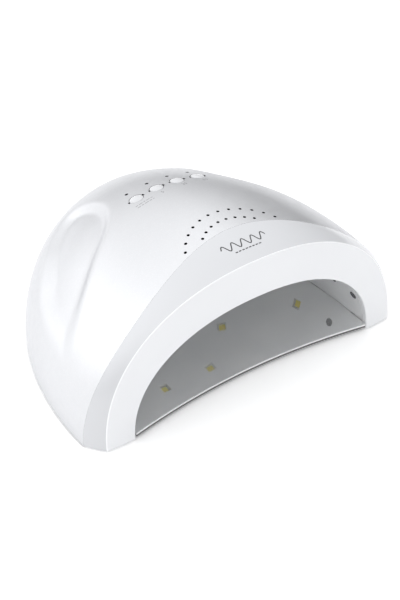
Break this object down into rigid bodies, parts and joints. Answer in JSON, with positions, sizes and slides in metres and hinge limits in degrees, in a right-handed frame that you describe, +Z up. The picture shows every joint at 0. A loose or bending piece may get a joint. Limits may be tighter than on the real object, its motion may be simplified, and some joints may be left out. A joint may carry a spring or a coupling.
{
  "type": "uv curing lamp",
  "caption": "Domed desk-top UV curing lamp with an arched hand opening, four push buttons, vent holes and a mirror tray that slides out",
  "frame": {"origin": "middle of the footprint, on the table", "axes": "+X to the right seen from the front, +Y to the back, +Z up; the hand opening faces -Y"},
  "size_m": [0.218, 0.1799, 0.0918],
  "materials": {
    "pearl_casing": "pearl silver lacquer, satin gloss",
    "white_gloss": "moulded gloss white",
    "reflector_grey": "metallised satin grey",
    "frame_white": "moulded matt white",
    "foot_rubber": "soft grey rubber",
    "steel": "zinc plated",
    "tray_white": "moulded light grey",
    "tray_mirror": "polished mirror sheet",
    "switch_plastic": "black plastic",
    "light_pipe": "smoked clear plastic",
    "indicator_led": "clear encapsulation",
    "circuit_board": "green solder mask",
    "led_board": "white coated aluminium",
    "led_phosphor": "yellow LED package",
    "dark_window": "infrared black",
    "sensor_body": "dark epoxy",
    "ferrite": "enamelled copper on ferrite",
    "capacitor_sleeve": "dark blue sleeve",
    "sink_aluminium": "extruded",
    "connector_ivory": "ivory nylon",
    "inlet_black": "black plastic",
    "contact_brass": "plated",
    "lead_black": "black sleeve",
    "lead_grey": "grey ribbon",
    "lead_white": "white insulation"
  },
  "bodies": {
    "root": {"top_shell": "pearl_casing", "front_bezel": "white_gloss", "reflector": "reflector_grey", "base_frame": "frame_white", "rubber_feet": "foot_rubber", "case_screws": "steel", "frame_magnets": "steel", "control_board": "circuit_board", "board_screws": "steel", "tact_switches": "switch_plastic", "indicator_lenses": "light_pipe", "indicator_leds": "indicator_led", "timer_chip": "switch_plastic", "led_boards": "led_board", "led_packages": "led_phosphor", "sensor_windows": "dark_window", "sensor_boards": "circuit_board", "ir_sensors": "sensor_body", "power_board": "circuit_board", "power_screws": "steel", "choke": "ferrite", "capacitors": "capacitor_sleeve", "driver_chip": "switch_plastic", "heat_sink": "sink_aluminium", "board_connectors": "connector_ivory", "dc_jack": "inlet_black", "jack_pin": "contact_brass", "jack_nut": "steel", "jack_lead": "lead_black", "panel_lead": "lead_grey", "led_leads": "lead_white"},
    "tray": {"tray_plate": "tray_white", "tray_mirror": "tray_mirror", "tray_catches": "steel"},
    "push_button_1": {"button_1": "white_gloss", "switch_plunger_1": "switch_plastic"},
    "push_button_2": {"button_2": "white_gloss", "switch_plunger_2": "switch_plastic"},
    "push_button_3": {"button_3": "white_gloss", "switch_plunger_3": "switch_plastic"},
    "push_button_4": {"button_4": "white_gloss", "switch_plunger_4": "switch_plastic"}
  },
  "joints": [
    {"name": "tray_slide", "type": "slide", "parent": "root", "child": "tray", "axis": [0, -1, 0], "range_m": [0, 0.13]},
    {"name": "button_1_press", "type": "slide", "parent": "root", "child": "push_button_1", "axis": [0, -0.2469, -0.969], "range_m": [0, 0.0004], "stiffness_N_per_m": 4000},
    {"name": "button_2_press", "type": "slide", "parent": "root", "child": "push_button_2", "axis": [0, -0.2469, -0.969], "range_m": [0, 0.0004], "stiffness_N_per_m": 4000},
    {"name": "button_3_press", "type": "slide", "parent": "root", "child": "push_button_3", "axis": [0, -0.2469, -0.969], "range_m": [0, 0.0004], "stiffness_N_per_m": 4000},
    {"name": "button_4_press", "type": "slide", "parent": "root", "child": "push_button_4", "axis": [0, -0.2469, -0.969], "range_m": [0, 0.0004], "stiffness_N_per_m": 4000}
  ]
}
